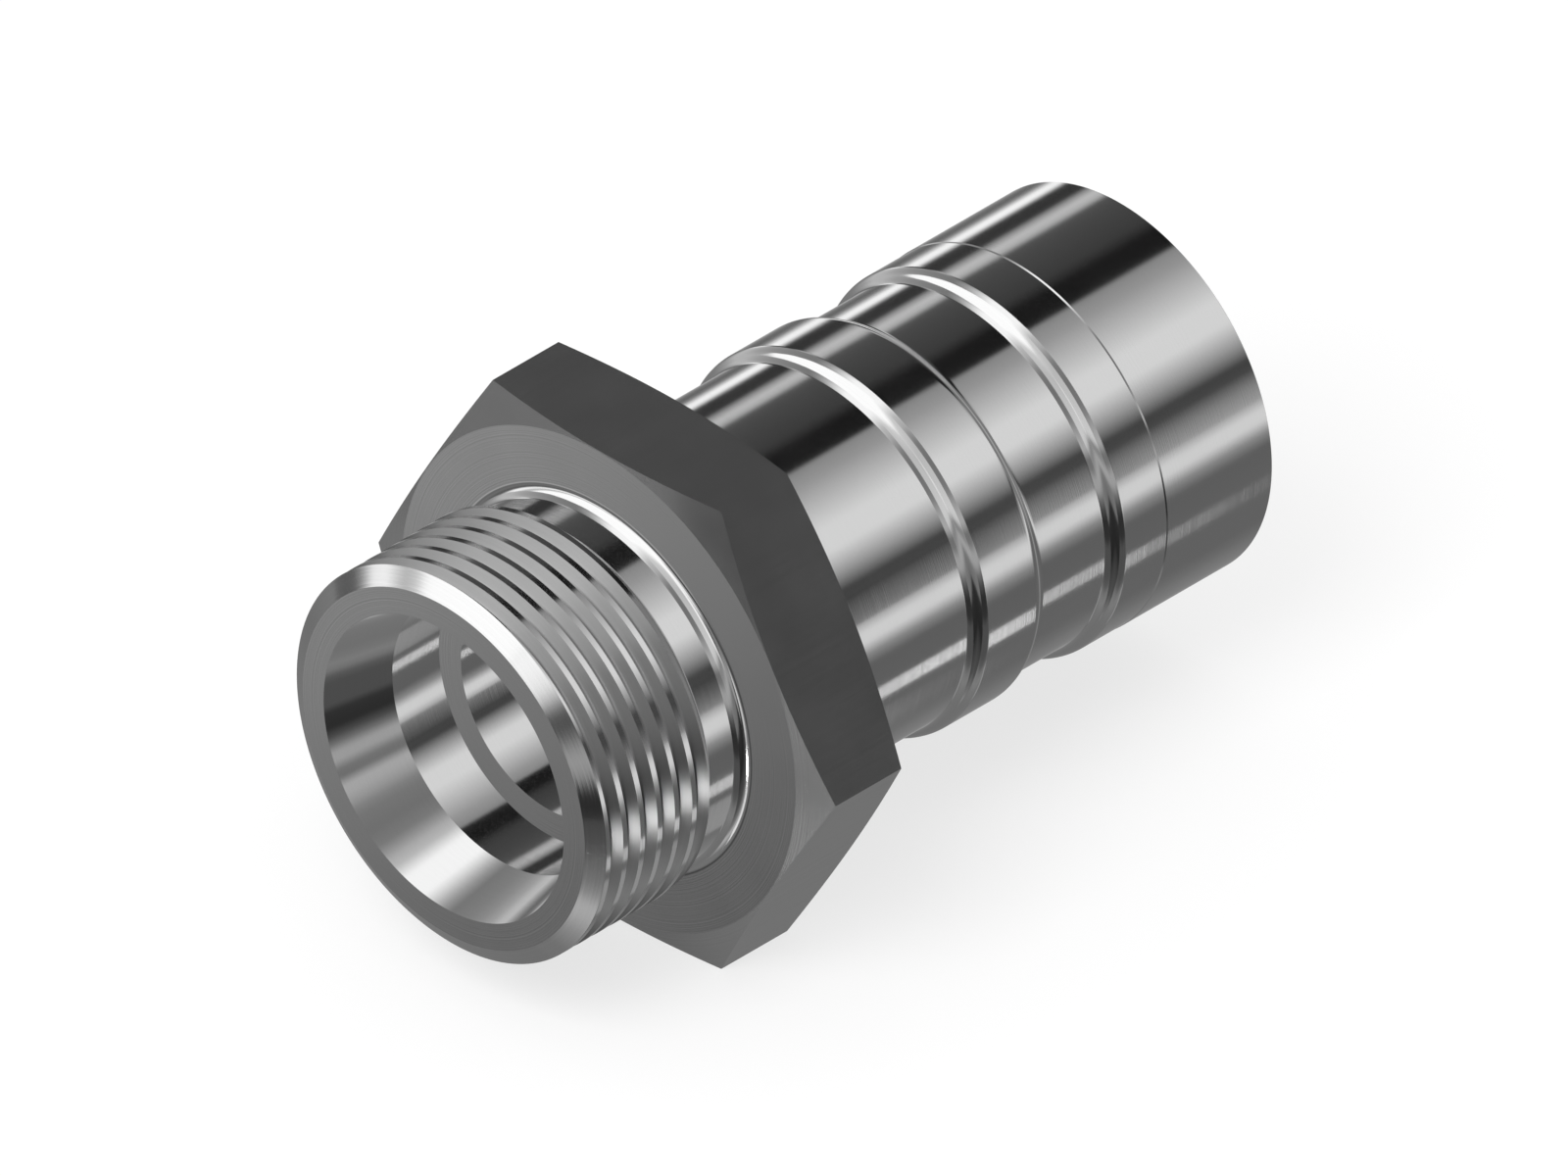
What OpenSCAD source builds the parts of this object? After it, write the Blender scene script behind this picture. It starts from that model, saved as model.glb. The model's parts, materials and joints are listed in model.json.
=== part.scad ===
// Straight coupling turned from one length of hexagon bar. A threaded stud with a coned
// tube socket is at one end and a beaded hose tail at the other.
// X runs along the axis from the stud towards the tail, with X = 0 at the tube stop.
// Two flats of the hexagon face up and down. All sizes are in millimetres.

/* [Tube socket] */
// Outside diameter of the tube that the socket takes
tube_d = 25; // [24.5:0.1:26]
// Play between the tube and the socket wall, on the diameter
tube_play = 0.1; // [0.05:0.05:0.3]
// Depth of the tube stop behind the front face
stop_depth = 12; // [9:0.5:16]
// Diameter of the sealing cone at its mouth
mouth_d = 27.9; // [26.5:0.1:29.5]
// Full angle of the sealing cone
cone_angle = 24; // [20:1:40]
// Diameter of the passage from the tube stop to the tail end
passage_d = 20; // [12:0.5:23]

/* [Threaded stud] */
// Length of the stud from the front face to the hexagon
stud_len = 18; // [14:0.5:30]
// Major diameter of the thread
thread_d = 36; // [34:0.5:42]
// Outside diameter of the flat ring round the mouth
face_d = 32.8; // [31:0.1:33.8]
// Angle between the front chamfer and the front face
face_chamfer_angle = 30; // [15:5:45]
// Length of the relief behind the thread, with its slope and its fillet
relief_len = 5.1; // [4:0.1:8]
// Diameter at the bottom of the relief
relief_d = 33.5; // [32:0.1:33.8]
// Angle between the slope at the thread's end and the axis
relief_slope_angle = 45; // [30:5:60]
// Radius of the fillet between the relief and the hexagon
relief_fillet_r = 1.1; // [0.4:0.1:2]

/* [Hexagon] */
// Width across the flats
hex_af = 46; // [42:1:55]
// Length of the hexagon along the axis
hex_len = 9.6; // [6:0.1:20]
// Diameter at which the corner chamfers start on both faces
hex_face_d = 45.8; // [41:0.1:45.9]
// Angle between the corner chamfers and the faces
hex_chamfer_angle = 15; // [10:1:30]

/* [Hose tail] */
// Diameter of the stem behind the hexagon and of the groove
stem_d = 33.5; // [32:0.1:34.8]
// Length of the stem from the hexagon to the bead's rise
stem_len = 16.4; // [5:0.1:40]
// Diameter of the bead and of the shoulder
bead_d = 35.3; // [34.5:0.1:37]
// Length of the level top of the bead
bead_len = 5.4; // [2:0.1:15]
// Radius of both curves in each rise and fall of the tail
wave_r = 1.1; // [0.9:0.1:2.5]
// Length of the level floor of the groove behind the bead
groove_len = 7; // [2:0.1:20]
// Length of the shoulder's level top, up to the step
shoulder_len = 4.6; // [2:0.1:15]
// Diameter of the plain end behind the step
end_d = 35.4; // [35:0.05:38]
// Length of the slope that makes the step
step_len = 0.15; // [0.05:0.05:0.5]
// Length of the plain end, with the step's slope
end_len = 12.3; // [5:0.1:40]
// Width of the broken edges at the tail end
edge_break = 0.1; // [0.05:0.05:0.5]

/* [Hidden] */
$fn = 96;

socket_r = (tube_d + tube_play) / 2;
mouth_r = mouth_d / 2;
passage_r = passage_d / 2;
cone_len = (mouth_r - socket_r) / tan(cone_angle / 2);

face_r = face_d / 2;
thread_r = thread_d / 2;
relief_r = relief_d / 2;
face_chamfer_len = (thread_r - face_r) * tan(face_chamfer_angle);
relief_slope_len = (thread_r - relief_r) / tan(relief_slope_angle);
thread_end = stud_len - relief_len;

hex_back = stud_len + hex_len;
hex_corner_r = hex_af / 2 / cos(30);
hex_face_r = hex_face_d / 2;

stem_r = stem_d / 2;
bead_r = bead_d / 2;
end_r = end_d / 2;
// Each rise and fall is two equal arcs that meet half way up
wave_angle = acos(1 - (bead_r - stem_r) / (2 * wave_r));
wave_len = 2 * wave_r * sin(wave_angle);
bead_rise = hex_back + stem_len;
bead_fall = bead_rise + wave_len + bead_len;
shoulder_rise = bead_fall + wave_len + groove_len;
step_at = shoulder_rise + wave_len + shoulder_len;
total_len = step_at + end_len;

// How far a cutting shape runs past the surface that it opens
overrun = 1;

// Every outline below is drawn as [radius, distance behind the front face]

// Stud with its front chamfer and the slope down to the thread's relief
module stud_outline() {
    polygon([
        [0, 0],
        [face_r, 0],
        [thread_r, face_chamfer_len],
        [thread_r, thread_end],
        [relief_r, thread_end + relief_slope_len],
        [relief_r, stud_len],
        [0, stud_len]
    ]);
}

// Hollow fillet between the relief and the hexagon, rooted in the hexagon
module relief_fillet_outline() {
    difference() {
        translate([0, stud_len - relief_fillet_r])
            square([relief_r + relief_fillet_r, relief_fillet_r + hex_len / 2]);
        translate([relief_r + relief_fillet_r, stud_len - relief_fillet_r])
            circle(r = relief_fillet_r);
    }
}

// Rise from the stem to the bead's top, hollow at its foot and round at its crest
module rise_outline() {
    difference() {
        polygon([
            [0, 0],
            [stem_r, 0],
            [(stem_r + bead_r) / 2, wave_len / 2],
            [bead_r - wave_r, wave_len],
            [0, wave_len]
        ]);
        translate([stem_r + wave_r, 0])
            circle(r = wave_r);
    }
    translate([bead_r - wave_r, wave_len])
        circle(r = wave_r);
}

module fall_outline() {
    mirror([0, 1])
        translate([0, -wave_len])
            rise_outline();
}

// Plain end with the small step in front of it and a broken outer edge
module end_outline() {
    polygon([
        [0, step_at],
        [bead_r, step_at],
        [end_r, step_at + step_len],
        [end_r, total_len - edge_break],
        [end_r - edge_break, total_len],
        [0, total_len]
    ]);
}

module tail_outline() {
    translate([0, stud_len])
        square([stem_r, step_at - stud_len]);
    translate([0, bead_rise])
        rise_outline();
    translate([0, bead_rise + wave_len])
        square([bead_r, bead_len]);
    translate([0, bead_fall])
        fall_outline();
    translate([0, shoulder_rise])
        rise_outline();
    translate([0, shoulder_rise + wave_len])
        square([bead_r, shoulder_len]);
    end_outline();
}

// Sealing cone, tube socket, tube stop and passage, with a broken edge at the tail end
module bore_outline() {
    polygon([
        [0, -overrun],
        [mouth_r + overrun * tan(cone_angle / 2), -overrun],
        [socket_r, cone_len],
        [socket_r, stop_depth],
        [passage_r, stop_depth],
        [passage_r, total_len - edge_break],
        [passage_r + edge_break + overrun, total_len + overrun],
        [0, total_len + overrun]
    ]);
}

// Hexagon with its corners turned down to a shallow cone on both faces
module hexagon() {
    reach = hex_corner_r - hex_face_r + overrun;
    drop = reach * tan(hex_chamfer_angle);
    intersection() {
        translate([0, 0, stud_len])
            rotate([0, 0, 30])
                cylinder(h = hex_len, r = hex_corner_r, $fn = 6);
        rotate_extrude()
            polygon([
                [0, stud_len],
                [hex_face_r, stud_len],
                [hex_face_r + reach, stud_len + drop],
                [hex_face_r + reach, hex_back - drop],
                [hex_face_r, hex_back],
                [0, hex_back]
            ]);
    }
}

module coupling_body() {
    color("silver")
        translate([-stop_depth, 0, 0])
            rotate([0, 90, 0])
                difference() {
                    union() {
                        rotate_extrude() {
                            stud_outline();
                            relief_fillet_outline();
                            tail_outline();
                        }
                        hexagon();
                    }
                    rotate_extrude()
                        bore_outline();
                }
}

coupling_body();
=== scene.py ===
import json
import math
from collections import namedtuple

import bpy
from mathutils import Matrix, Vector


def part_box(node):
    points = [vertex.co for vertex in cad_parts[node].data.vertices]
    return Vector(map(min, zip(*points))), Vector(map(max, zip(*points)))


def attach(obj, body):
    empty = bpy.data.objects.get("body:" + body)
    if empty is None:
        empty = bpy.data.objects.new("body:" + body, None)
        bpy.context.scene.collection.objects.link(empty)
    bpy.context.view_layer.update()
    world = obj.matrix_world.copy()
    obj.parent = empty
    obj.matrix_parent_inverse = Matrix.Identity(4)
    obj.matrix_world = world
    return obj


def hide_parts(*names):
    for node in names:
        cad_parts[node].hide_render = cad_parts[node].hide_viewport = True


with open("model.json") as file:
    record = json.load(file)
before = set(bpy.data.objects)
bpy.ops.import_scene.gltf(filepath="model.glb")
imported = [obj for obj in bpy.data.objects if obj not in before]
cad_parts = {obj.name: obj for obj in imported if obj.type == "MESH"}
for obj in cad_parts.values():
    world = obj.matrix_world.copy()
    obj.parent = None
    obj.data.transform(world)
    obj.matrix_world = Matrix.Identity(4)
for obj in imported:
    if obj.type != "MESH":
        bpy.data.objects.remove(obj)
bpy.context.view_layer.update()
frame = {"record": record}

MM = 0.001
NODE = "coupling_body"
MOUNTS = {m["name"]: m["dims"] for m in frame["record"]["mounts"]}
low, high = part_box(NODE)

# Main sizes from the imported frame. The coupling's sizes are in millimetres, and stations count
# from the front face along the axis.
front_x = low.x / MM
total_len = (high.x - low.x) / MM
stop_at = -front_x
half_flats = high.z / MM
thread_r = MOUNTS["stud_thread"]["r_mm"]
end_r = MOUNTS["hose_tail"]["r_mm"]
socket_r = MOUNTS["tube_socket"]["r_mm"]
socket_at = stop_at - MOUNTS["tube_socket"]["length_mm"]
passage_r = MOUNTS["passage"]["r_mm"]

# Stud
mouth_r = 13.95
face_r = 16.4
face_chamfer = math.radians(30)
relief_r = 16.75
slope_at = 12.9
stud_len = 18.0
relief_fillet = 1.1
# Thread, with the station of one crest's middle at an angle about the axis
pitch = 2.0
crest_flat = 0.55
first_crest = 2.9
first_crest_angle = 135.0
# Length over which the turns grow from nothing to their full depth
lead_in = 0.4

# Hexagon
hex_len = 9.6
hex_face_r = 22.9
hex_chamfer = math.radians(15)

# Hose tail
stem_r = 16.75
bead_r = 17.65
wave_r = 1.1
stem_len = 16.4
bead_len = 5.4
groove_len = 7.0
shoulder_len = 4.6
step_len = 0.15
edge_break = 0.1

# Steps round the arcs of the outline and round the axis, in degrees
arc_step = 10.5
column_step = 1.5
# Faces that meet at more than this angle, in degrees, are shaded with a sharp edge
sharp_angle = 11

Point = namedtuple("Point", "s r finish")


def arc_points(centre_s, centre_r, radius, start, end, finish):
    """Points of an arc, with both ends. 0 degrees points along the axis and 90 points outwards."""
    steps = math.ceil(abs(end - start) / arc_step - 1e-9)
    angles = [math.radians(start + (end - start) * i / steps) for i in range(steps + 1)]
    return [
        Point(centre_s + radius * math.cos(a), centre_r + radius * math.sin(a), finish)
        for a in angles
    ]


def thread_turn():
    """One pitch of the thread: a V of 60 degrees with a flat crest and a round root.

    Its points are (distance from the crest's middle, depth).
    """
    half_angle = math.radians(30)
    flank_parts = 3
    root_steps = 6
    crest_half = crest_flat / 2
    slope = math.tan(half_angle)
    root_r = pitch * math.cos(half_angle) / 6
    root_centre = (pitch / 2 - crest_half) / slope - root_r / math.sin(half_angle)
    root_from = pitch / 2 - root_r * math.cos(half_angle)
    fall = []
    for i in range(flank_parts):
        t = crest_half + (root_from - crest_half) * i / flank_parts
        fall.append((t, (t - crest_half) / slope))
    for i in range(root_steps + 1):
        a = half_angle + (math.pi / 2 - half_angle) * i / root_steps
        fall.append((pitch / 2 - root_r * math.cos(a), root_centre + root_r * math.sin(a)))
    rise = [(pitch - t, depth) for t, depth in reversed(fall[:-1])]
    return fall + rise


TURN = thread_turn()
root_depth = max(depth for _, depth in TURN)
thread_from = (thread_r - face_r) * math.tan(face_chamfer)
thread_to = slope_at + root_depth
# Turns made in front of the first crest. Those past the thread's ends shrink to nothing.
turns_before = 3
turn_count = math.ceil((thread_to - first_crest) / pitch) + turns_before + 2
# Where the thread's points stand in the whole outline
thread_start = 2
thread_stop = thread_start + turn_count * len(TURN)


def thread_rows(angle):
    """The thread's outline in the plane at an angle. It moves on by one pitch in a full turn."""
    lead = first_crest + pitch * (angle - first_crest_angle) / 360
    rows = []
    for turn in range(-turns_before, turn_count - turns_before):
        for offset, depth in TURN:
            s = min(max(lead + turn * pitch + offset, thread_from), thread_to)
            cut = min(1, (s - thread_from) / lead_in)
            slope = thread_r - (s - slope_at)
            # The flat crest follows the last point of a turn. The flanks and root take the cut finish,
            # whose darker grey is partly painted shade of the grooves
            finish = "turned" if offset == TURN[-1][0] else "cut"
            rows.append(Point(s, min(thread_r - depth * cut, slope), finish))
    return rows


def hexagon_r(angle):
    """Distance from the axis to the hexagon's side. Its flats face 30, 90, 150 degrees and so on."""
    return half_flats / math.cos(math.radians(angle % 60 - 30))


def wave(foot_s, low_r, top_r, rising, finish):
    """A rise or a fall of the tail: two equal arcs that meet half way up."""
    angle = math.acos(1 - (top_r - low_r) / (2 * wave_r))
    length = 2 * wave_r * math.sin(angle)
    degrees = math.degrees(angle)
    points = arc_points(foot_s, low_r + wave_r, wave_r, -90, -90 + degrees, finish)[:-1]
    points += arc_points(foot_s + length, top_r - wave_r, wave_r, 90 + degrees, 90, finish)
    if not rising:
        points = [p._replace(s=2 * foot_s + length - p.s) for p in reversed(points)]
    return points, foot_s + length


def outline(angle):
    """The whole closed outline in the plane at an angle, from the mouth's edge outwards.

    Each point names the finish of the face that follows it.
    """
    hex_back = stud_len + hex_len
    loop = [
        Point(0, mouth_r, "faced"),
        Point(0, face_r, "turned"),
    ]
    loop += thread_rows(angle)
    loop.append(Point(slope_at + thread_r - relief_r, relief_r, "turned"))
    loop += arc_points(
        stud_len - relief_fillet, relief_r + relief_fillet, relief_fillet, -90, 0, "turned"
    )
    side_r = hexagon_r(angle)
    drop = (side_r - hex_face_r) * math.tan(hex_chamfer)
    loop[-1] = loop[-1]._replace(finish="faced")
    loop += [
        Point(stud_len, hex_face_r, "faced"),
        Point(stud_len + drop, side_r, "drawn"),
        Point(hex_back - drop, side_r, "faced"),
        Point(hex_back, hex_face_r, "faced"),
        Point(hex_back, stem_r, "turned"),
    ]
    rise, bead_at = wave(hex_back + stem_len, stem_r, bead_r, True, "turned")
    fall, groove_at = wave(bead_at + bead_len, stem_r, bead_r, False, "turned")
    second_rise, shoulder_at = wave(groove_at + groove_len, stem_r, bead_r, True, "turned")
    step_at = shoulder_at + shoulder_len
    loop += rise + fall + second_rise
    loop += [
        Point(step_at, bead_r, "turned"),
        Point(step_at + step_len, end_r, "turned"),
        Point(total_len - edge_break, end_r, "turned"),
        Point(total_len, end_r - edge_break, "faced"),
        Point(total_len, passage_r + edge_break, "turned"),
        Point(total_len - edge_break, passage_r, "turned"),
        Point(stop_at, passage_r, "faced"),
        Point(stop_at, socket_r, "turned"),
        Point(socket_at, socket_r, "turned"),
    ]
    return loop


def make_columns():
    """The outline's vertices in every plane round the axis, and a column of them for each plane.

    A column lists (vertex number, finish).
    """
    vertices, columns = [], []
    for step in range(round(360 / column_step)):
        angle = column_step * step
        turn = math.radians(angle)
        spots, column = {}, []
        for point in outline(angle):
            spot = (round(point.s, 5), round(point.r, 5))
            if spot not in spots:
                spots[spot] = len(vertices)
                y = point.r * math.cos(turn) * MM
                z = point.r * math.sin(turn) * MM
                vertices.append(((front_x + point.s) * MM, y, z))
            column.append((spots[spot], point.finish))
        columns.append(column)
    return vertices, columns


def row_beyond(row, rows, shift):
    """The row that a row links to in the following column. The thread's rows are shifted."""
    row %= rows
    if thread_start <= row < thread_stop:
        row = min(row + shift, thread_stop - 1)
    return row


def body_mesh():
    """The closed mesh of the whole coupling. At the seam the thread's rows link one pitch on."""
    vertices, columns = make_columns()
    rows = len(columns[0])
    faces, finishes = [], []
    for j, column in enumerate(columns):
        at_seam = j == len(columns) - 1
        shift = len(TURN) if at_seam else 0
        following = columns[(j + 1) % len(columns)]
        for i, (here, finish) in enumerate(column):
            up = column[(i + 1) % rows][0]
            up_beyond = following[row_beyond(i + 1, rows, shift)][0]
            beyond = following[row_beyond(i, rows, shift)][0]
            corners = list(dict.fromkeys((here, up, up_beyond, beyond)))
            if len(corners) > 2:
                faces.append(corners)
                finishes.append(finish)
    return vertices, faces, finishes


# Finishes. A grey is a linear colour, and patches is the share by which the roughness varies.
# Tool lines run round a turned face, in circles on a faced one and along the axis on a drawn
# one, so they change along the axis, along the radius or over the section. Spread stretches
# highlights along the axis, as the marks round a turned flank do.
FINISHES = {
    "turned": dict(
        grey=0.62, roughness=0.1, patches=0.12, change_along="axis", line_scale=9000, line_depth=0.15
    ),
    "faced": dict(
        grey=0.62, roughness=0.2, patches=0.1, change_along="radius", line_scale=6000, line_depth=0.25
    ),
    "drawn": dict(
        grey=0.55, roughness=0.15, patches=0.1, change_along="section", line_scale=2500, line_depth=0.2
    ),
    # The cut flanks and roots are half as light as turned steel: partly a duller cut face, partly
    # painted shade of the thread's grooves
    "cut": dict(
        grey=0.31, roughness=0.3, patches=0.1, change_along="axis", line_scale=9000, line_depth=0.25,
        spread=0.88
    ),
}
# Height of the tool lines, and how much of their pattern tints the steel
line_height = 0.02 * MM
line_tint = 0.12


def line_places(nodes, links, place, change_along):
    """Coordinates in which the tool lines change."""
    parts = nodes.new("ShaderNodeSeparateXYZ")
    links.new(place, parts.inputs[0])
    across = nodes.new("ShaderNodeCombineXYZ")
    if change_along == "axis":
        links.new(parts.outputs["X"], across.inputs["X"])
        return across.outputs[0]
    links.new(parts.outputs["Y"], across.inputs["Y"])
    links.new(parts.outputs["Z"], across.inputs["Z"])
    if change_along == "section":
        return across.outputs[0]
    radius = nodes.new("ShaderNodeVectorMath")
    radius.operation = "LENGTH"
    links.new(across.outputs[0], radius.inputs[0])
    distance = nodes.new("ShaderNodeCombineXYZ")
    links.new(radius.outputs["Value"], distance.inputs["X"])
    return distance.outputs[0]


def noise(nodes, links, place, scale, detail):
    texture = nodes.new("ShaderNodeTexNoise")
    texture.inputs["Scale"].default_value = scale
    texture.inputs["Detail"].default_value = detail
    links.new(place, texture.inputs["Vector"])
    return texture.outputs["Fac"]


def patchy_roughness(nodes, links, place, roughness, patches):
    """A roughness that varies from spot to spot, by a share of itself up and down."""
    spots = noise(nodes, links, place, 160.0, 4.0)
    rough = nodes.new("ShaderNodeMapRange")
    rough.inputs["From Min"].default_value = 0.3
    rough.inputs["From Max"].default_value = 0.7
    rough.inputs["To Min"].default_value = roughness * (1 - patches)
    rough.inputs["To Max"].default_value = roughness * (1 + patches)
    links.new(spots, rough.inputs["Value"])
    return rough.outputs[0]


def spread_highlights(nodes, links, shader, spread):
    """Stretch the highlights along the axis."""
    around = nodes.new("ShaderNodeTangent")
    around.direction_type = "RADIAL"
    around.axis = "X"
    links.new(around.outputs[0], shader.inputs["Tangent"])
    shader.inputs["Anisotropic"].default_value = spread
    shader.inputs["Anisotropic Rotation"].default_value = 0.25


def steel(name, grey, roughness, patches, change_along, line_scale, line_depth, spread=0.0):
    """A steel finish with fine tool lines."""
    material = bpy.data.materials.new(name)
    material.use_nodes = True
    nodes, links = material.node_tree.nodes, material.node_tree.links
    shader = nodes["Principled BSDF"]
    shader.inputs["Metallic"].default_value = 1.0
    if spread:
        spread_highlights(nodes, links, shader, spread)
    place = nodes.new("ShaderNodeTexCoord").outputs["Object"]

    lines = noise(nodes, links, line_places(nodes, links, place, change_along), line_scale, 3.0)
    bump = nodes.new("ShaderNodeBump")
    bump.inputs["Strength"].default_value = line_depth
    bump.inputs["Distance"].default_value = line_height
    links.new(lines, bump.inputs["Height"])
    links.new(bump.outputs[0], shader.inputs["Normal"])

    rough = patchy_roughness(nodes, links, place, roughness, patches)
    links.new(rough, shader.inputs["Roughness"])

    tone = nodes.new("ShaderNodeMixRGB")
    tone.blend_type = "MULTIPLY"
    tone.inputs["Fac"].default_value = line_tint
    tone.inputs["Color1"].default_value = (grey, grey, grey, 1)
    links.new(lines, tone.inputs["Color2"])
    links.new(tone.outputs[0], shader.inputs["Base Color"])
    return material


def make_body():
    vertices, faces, finishes = body_mesh()
    mesh = bpy.data.meshes.new("coupling")
    mesh.from_pydata(vertices, [], faces)
    for name, look in FINISHES.items():
        mesh.materials.append(steel(name + "_steel", **look))
    order = list(FINISHES)
    for face, finish in zip(mesh.polygons, finishes):
        face.material_index = order.index(finish)
        face.use_smooth = True
    mesh.set_sharp_from_angle(angle=math.radians(sharp_angle))
    mesh.validate()
    body = bpy.data.objects.new("coupling", mesh)
    bpy.context.scene.collection.objects.link(body)
    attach(body, "root")
    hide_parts(NODE)
    # The steel mirrors no part of itself, so the shade in the thread's grooves is partly painted into
    # the cut finish's darker grey
    body.visible_glossy = False
    level = body.modifiers.new("level_flats", "WEIGHTED_NORMAL")
    level.keep_sharp = True


make_body()

# Studio, in metres. The tent is a tube of light and dark panels round the axis that only
# reflections show. It has three bands, a rim and a disc at its front, and a disc at its rear.
tent_r = 0.5
tent_front = -0.88
tent_middle = -0.13
tent_rear = 0.27
tent_end = 1.4
disc_r = 0.25
hole_r = 0.001
panel_gap = 0.005
# The most that a strip of the tent turns, in degrees
strip_turn = 5

# Panels as (angle about the axis, glow). 0 is the far side, 90 is above and 180 is the near side.
# Their places and strengths come from grey levels measured in the picture: scratch scripts worked out
# the light that each place has to give, and the lists were typed from that and changed by hand.
REAR_PANELS = [
    (-45, 0.45), (-36, 0.45), (-27, 0.22), (-18, 0.16), (-12, 0.28), (-6.5, 0.85),
    (-4, 1.35), (1.5, 1.4), (5.5, 0.35), (7.5, 0.05), (20, 0.05), (24, 0.45), (29, 0.85),
    (34, 0.7), (38, 0.12), (47, 0.1), (66, 0.07), (74, 0.015), (87, 0.015), (89, 0.4),
    (98, 0.5), (112, 0.8), (125, 1.1), (138, 1.1), (146, 0.72), (155, 0.3), (160, 0.08),
    (166, 0.1), (174, 0.45), (182, 0.6), (188, 1.05), (194, 1.05), (201, 0.4), (208, 0.18),
    (235, 0.2), (260, 0.19), (280, 0.25), (300, 0.27), (315, 0.45),
]
MIDDLE_PANELS = [
    (-25, 0.24), (-14, 0.31), (-8, 0.5), (-3, 0.75), (3, 0.72), (10, 0.55), (20, 0.42),
    (30, 0.35), (45, 0.3), (52, 0.5), (57, 0.75), (63, 1.15), (69, 1.55), (86, 1.55),
    (92, 1.1), (96, 0.8), (102, 0.68), (107, 0.49), (113, 0.32), (124, 0.27), (136, 0.3),
    (141, 0.36), (146, 0.5), (152, 0.62), (157, 0.65), (163, 0.25), (168, 0.28),
    (174, 0.56), (179, 0.56), (185, 0.25), (190, 0.11), (196, 0.04), (207, 0.05),
    (212, 0.12), (229, 0.12), (235, 0.16), (240, 0.28), (246, 0.33), (251, 0.29),
    (260, 0.26), (335, 0.24),
]
FRONT_PANELS = [
    (-45, 0.24), (-42, 0.48), (-38, 0.6), (-31, 0.2), (-20, 0.25), (-11, 0.16), (-8, 0.17),
    (-6, 0.35), (-4, 0.75), (-2, 1.4), (2.5, 1.5), (5, 1.1), (8, 0.72), (12, 0.95),
    (15, 1.68), (80, 1.68), (86, 1.4), (93, 1.0), (113, 0.8), (136, 0.9), (152, 1.0),
    (157, 0.9), (163, 0.35), (168, 0.4), (174, 0.6), (179, 0.55), (185, 0.3), (198, 0.25),
    (203, 0.04), (223, 0.03), (231, 0.07), (239, 0.1), (246, 0.12), (252, 0.22),
    (257, 0.28), (261, 0.42), (264, 0.65), (267, 0.65), (270, 0.55), (274, 0.4),
    (280, 0.27), (295, 0.27), (307, 0.06), (312, 0.15), (315, 0.24),
]
FRONT_RIM_PANELS = [
    (-25, 0.06), (-12, 0.2), (0, 1.0), (10, 1.68), (84, 1.68), (93, 1.5), (135, 1.5),
    (156, 1.4), (165, 1.0), (174, 0.7), (182, 0.48), (203, 0.47), (215, 0.52), (222, 0.45),
    (226, 0.1), (229, 0.02), (236, 0.04), (250, 0.12), (256, 0.9), (282, 0.9), (290, 0.29),
    (310, 0.08), (335, 0.06),
]
FRONT_DISC_PANELS = [
    (-60, 0.3), (30, 0.8), (60, 1.6), (78, 1.45), (92, 1.3), (111, 0.93), (123, 0.7),
    (135, 0.45), (148, 0.25), (159, 0.14), (178, 0.11), (192, 0.17), (202, 0.36),
    (209, 0.5), (216, 0.52), (230, 0.4), (300, 0.3),
]
REAR_DISC_PANELS = [(0, 0.3), (360, 0.3)]

# Panels just inside the tent as (angles about the axis, places along it, glow at the corners).
# The corners go round from the first angle to the second at the first place, and back at the
# second place. Each lightens or darkens one spot of the steel in the picture's view.
INNER_PANELS = {
    "low_strip_stud": ((227, 235.5), (0.32, 0.352), (0.5, 0.5, 1.3, 1.3)),
    "low_strip_stem": ((226.5, 235.5), (0.365, 0.377), (2.5, 2.5, 1.1, 1.1)),
    "low_strip_tail": ((226.5, 235.5), (0.377, 0.392), (1.1, 1.1, 0.2, 0.2)),
    "low_patch": ((242, 268), (0.27, 0.355), (0.42, 0.42, 0.42, 0.42)),
    "shade_in": ((165, 182), (0.3, 0.355), (0.1, 0.6, 0.22, 0.05)),
    "shade_out": ((165, 182), (0.355, 0.41), (0.05, 0.22, 0.6, 0.1)),
    "shade_far": ((-12, 6.5), (0.32, 0.352), (0.28, 0.2, 0.2, 0.28)),
    "shade_crests": ((20, 38), (0.32, 0.339), (0.06, 0.12, 0.12, 0.06)),
    "thread_fill": ((270, 283), (-0.32, -0.58), (1.2, 1.2, 1.2, 1.2)),
    "thread_spark": ((256, 270), (-0.63, -0.74), (26, 26, 26, 26)),
}


def glow_material(name):
    """Light of the strength that the mesh's glow attribute gives."""
    material = bpy.data.materials.new(name)
    material.use_nodes = True
    nodes, links = material.node_tree.nodes, material.node_tree.links
    nodes.clear()
    glow = nodes.new("ShaderNodeAttribute")
    glow.attribute_name = "glow"
    light = nodes.new("ShaderNodeEmission")
    out = nodes.new("ShaderNodeOutputMaterial")
    links.new(glow.outputs["Fac"], light.inputs["Strength"])
    links.new(light.outputs[0], out.inputs["Surface"])
    return material


def panel_edges(panels):
    """The panels' edges, with more between them so that no strip turns by more than strip_turn."""
    edges = []
    for (a0, g0), (a1, g1) in zip(panels, panels[1:]):
        parts = math.ceil((a1 - a0) / strip_turn)
        edges += [(a0 + (a1 - a0) * i / parts, g0 + (g1 - g0) * i / parts) for i in range(parts)]
    return edges + [panels[-1]]


def make_glow(name, vertices, faces, glow):
    """A mesh on stage whose points give off light, which only reflections show."""
    mesh = bpy.data.meshes.new(name)
    mesh.from_pydata(vertices, [], faces)
    mesh.attributes.new("glow", "FLOAT", "POINT").data.foreach_set("value", glow)
    mesh.materials.append(glow_material(name))
    light = bpy.data.objects.new(name, mesh)
    bpy.context.scene.collection.objects.link(light)
    light.visible_camera = False
    light.visible_diffuse = False
    light.visible_shadow = False
    light.visible_transmission = False


def around_axis(x, r, angle):
    turn = math.radians(angle)
    return (x, r * math.cos(turn), r * math.sin(turn))


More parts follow.
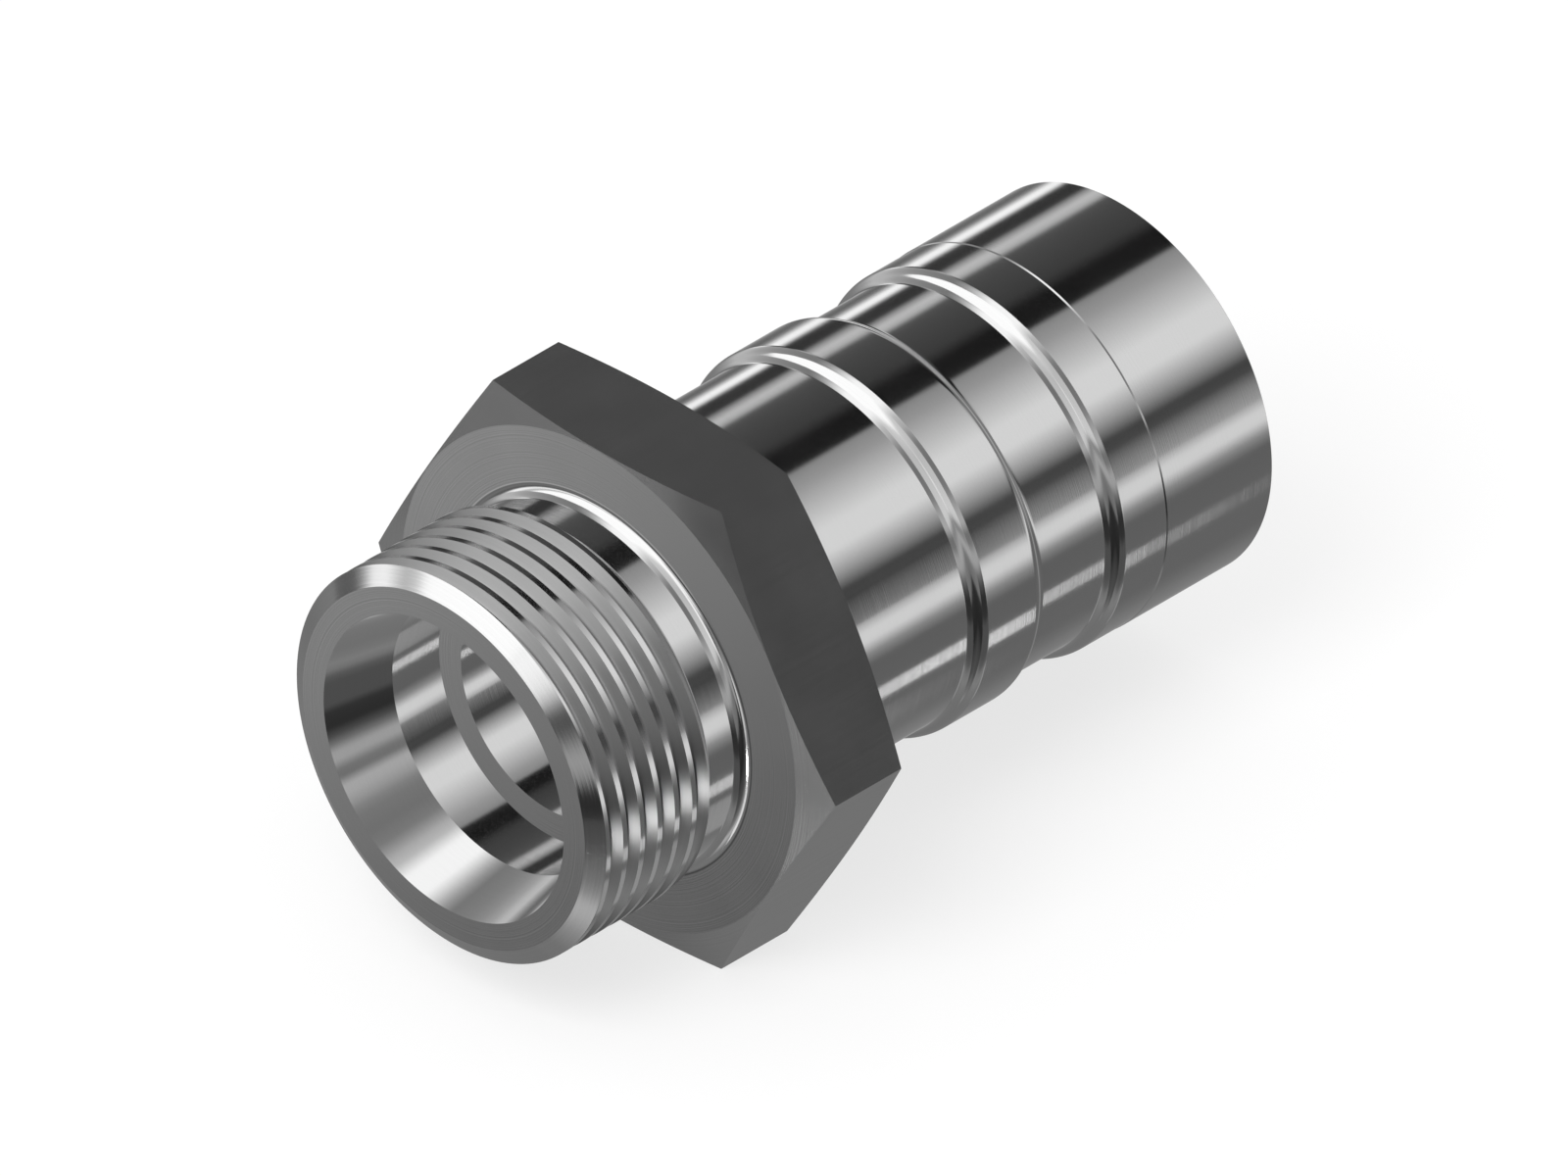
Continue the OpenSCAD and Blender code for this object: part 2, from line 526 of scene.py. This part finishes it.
def make_tent(name, panels, rims):
    """A band of panels between two rims, each a radius and a place along the axis."""
    edges = panel_edges(panels)
    vertices = [around_axis(x, r, angle) for angle, _ in edges for r, x in rims]
    glow = [strength for _, strength in edges for _ in rims]
    faces = [(2 * i, 2 * i + 1, 2 * i + 3, 2 * i + 2) for i in range(len(edges) - 1)]
    make_glow(name, vertices, faces, glow)


def make_panel(name, angles, places, glow):
    corners = [
        (places[0], angles[0]),
        (places[0], angles[1]),
        (places[1], angles[1]),
        (places[1], angles[0]),
    ]
    vertices = [around_axis(x, tent_r - panel_gap, angle) for x, angle in corners]
    make_glow(name, vertices, [(0, 1, 2, 3)], glow)


make_tent("rear_disc", REAR_DISC_PANELS, [(hole_r, tent_end), (tent_r, tent_end)])
make_tent("rear_tent", REAR_PANELS, [(tent_r, tent_rear), (tent_r, tent_end)])
make_tent("middle_tent", MIDDLE_PANELS, [(tent_r, tent_middle), (tent_r, tent_rear)])
make_tent("front_tent", FRONT_PANELS, [(tent_r, tent_front), (tent_r, tent_middle)])
make_tent("front_rim", FRONT_RIM_PANELS, [(disc_r, tent_front), (tent_r, tent_front)])
make_tent("front_disc", FRONT_DISC_PANELS, [(hole_r, tent_front), (disc_r, tent_front)])
for name, (angles, places, glow) in INNER_PANELS.items():
    make_panel(name, angles, places, glow)


def pale_material():
    """A matt white. Seen by the camera it is mostly plain white, and the rest shows the shadow."""
    white_share = 0.7
    material = bpy.data.materials.new("pale_floor")
    material.use_nodes = True
    nodes, links = material.node_tree.nodes, material.node_tree.links
    shader = nodes["Principled BSDF"]
    shader.inputs["Base Color"].default_value = (0.9, 0.9, 0.9, 1)
    shader.inputs["Roughness"].default_value = 0.9
    shader.inputs["Specular IOR Level"].default_value = 0.0
    white = nodes.new("ShaderNodeEmission")
    path = nodes.new("ShaderNodeLightPath")
    share = nodes.new("ShaderNodeMath")
    share.operation = "MULTIPLY"
    share.inputs[1].default_value = white_share
    blend = nodes.new("ShaderNodeMixShader")
    links.new(path.outputs["Is Camera Ray"], share.inputs[0])
    links.new(share.outputs[0], blend.inputs["Fac"])
    links.new(shader.outputs[0], blend.inputs[1])
    links.new(white.outputs[0], blend.inputs[2])
    links.new(blend.outputs[0], nodes["Material Output"].inputs["Surface"])
    return material


def make_floor():
    """A plain pale floor, level with the lower flat."""
    reach = 6.0
    z = low.z
    corners = [(-reach, -reach, z), (reach, -reach, z), (reach, reach, z), (-reach, reach, z)]
    mesh = bpy.data.meshes.new("floor")
    mesh.from_pydata(corners, [], [(0, 1, 2, 3)])
    mesh.materials.append(pale_material())
    floor = bpy.data.objects.new("floor", mesh)
    bpy.context.scene.collection.objects.link(floor)
    floor.visible_glossy = False


make_floor()


def make_world(sky):
    """A white background. Rough surfaces get the softer light of sky."""
    world = bpy.data.worlds.new("studio")
    bpy.context.scene.world = world
    world.use_nodes = True
    nodes, links = world.node_tree.nodes, world.node_tree.links
    path = nodes.new("ShaderNodeLightPath")
    seen = nodes.new("ShaderNodeMath")
    seen.operation = "MAXIMUM"
    links.new(path.outputs["Is Camera Ray"], seen.inputs[0])
    links.new(path.outputs["Is Glossy Ray"], seen.inputs[1])
    clear = nodes.new("ShaderNodeMath")
    clear.operation = "MAXIMUM"
    links.new(seen.outputs[0], clear.inputs[0])
    links.new(path.outputs["Is Transmission Ray"], clear.inputs[1])
    level = nodes.new("ShaderNodeMapRange")
    level.inputs["To Min"].default_value = sky
    level.inputs["To Max"].default_value = 1.0
    links.new(clear.outputs[0], level.inputs["Value"])
    background = nodes["Background"]
    background.inputs["Color"].default_value = (1, 1, 1, 1)
    links.new(level.outputs[0], background.inputs["Strength"])


make_world(0.85)


def make_softbox(name, place, aim, size, watts):
    """A square lamp that lights the floor and is not mirrored in the steel."""
    light = bpy.data.lights.new(name, "AREA")
    light.shape = "SQUARE"
    light.size = size
    light.energy = watts
    box = bpy.data.objects.new(name, light)
    box.location = place
    box.rotation_euler = (Vector(aim) - Vector(place)).to_track_quat("-Z", "Y").to_euler()
    box.visible_glossy = False
    bpy.context.scene.collection.objects.link(box)


make_softbox("key", place=(-0.7, -0.2, 0.9), aim=(0.02, 0, 0), size=0.6, watts=8)


def make_camera():
    """The photograph's view: an exact isometric, level with the horizon."""
    photo_width = 1600
    pixels_per_mm = 12.42
    # The picture's centre, in millimetres: a point of the axis, and its offset in the picture
    centre_x = 26.75
    centre_right = 0.5595
    centre_up = -0.96905
    distance = 0.6
    tilt = math.asin(1 / math.sqrt(3))
    side = math.cos(tilt) / math.sqrt(2)
    back = Vector((-side, -side, math.sin(tilt)))
    turn = (-back).to_track_quat("-Z", "Y")
    right = turn @ Vector((1, 0, 0))
    up = turn @ Vector((0, 1, 0))
    aim = (Vector((centre_x, 0, 0)) + centre_right * right + centre_up * up) * MM
    lens = bpy.data.cameras.new("camera")
    lens.type = "ORTHO"
    lens.ortho_scale = photo_width / pixels_per_mm * MM
    lens.clip_start = 0.01
    lens.clip_end = 20
    camera = bpy.data.objects.new("camera", lens)
    camera.location = aim + back * distance
    camera.rotation_mode = "QUATERNION"
    camera.rotation_quaternion = turn
    bpy.context.scene.collection.objects.link(camera)
    bpy.context.scene.camera = camera


make_camera()

bpy.context.scene.view_settings.view_transform = "Standard"
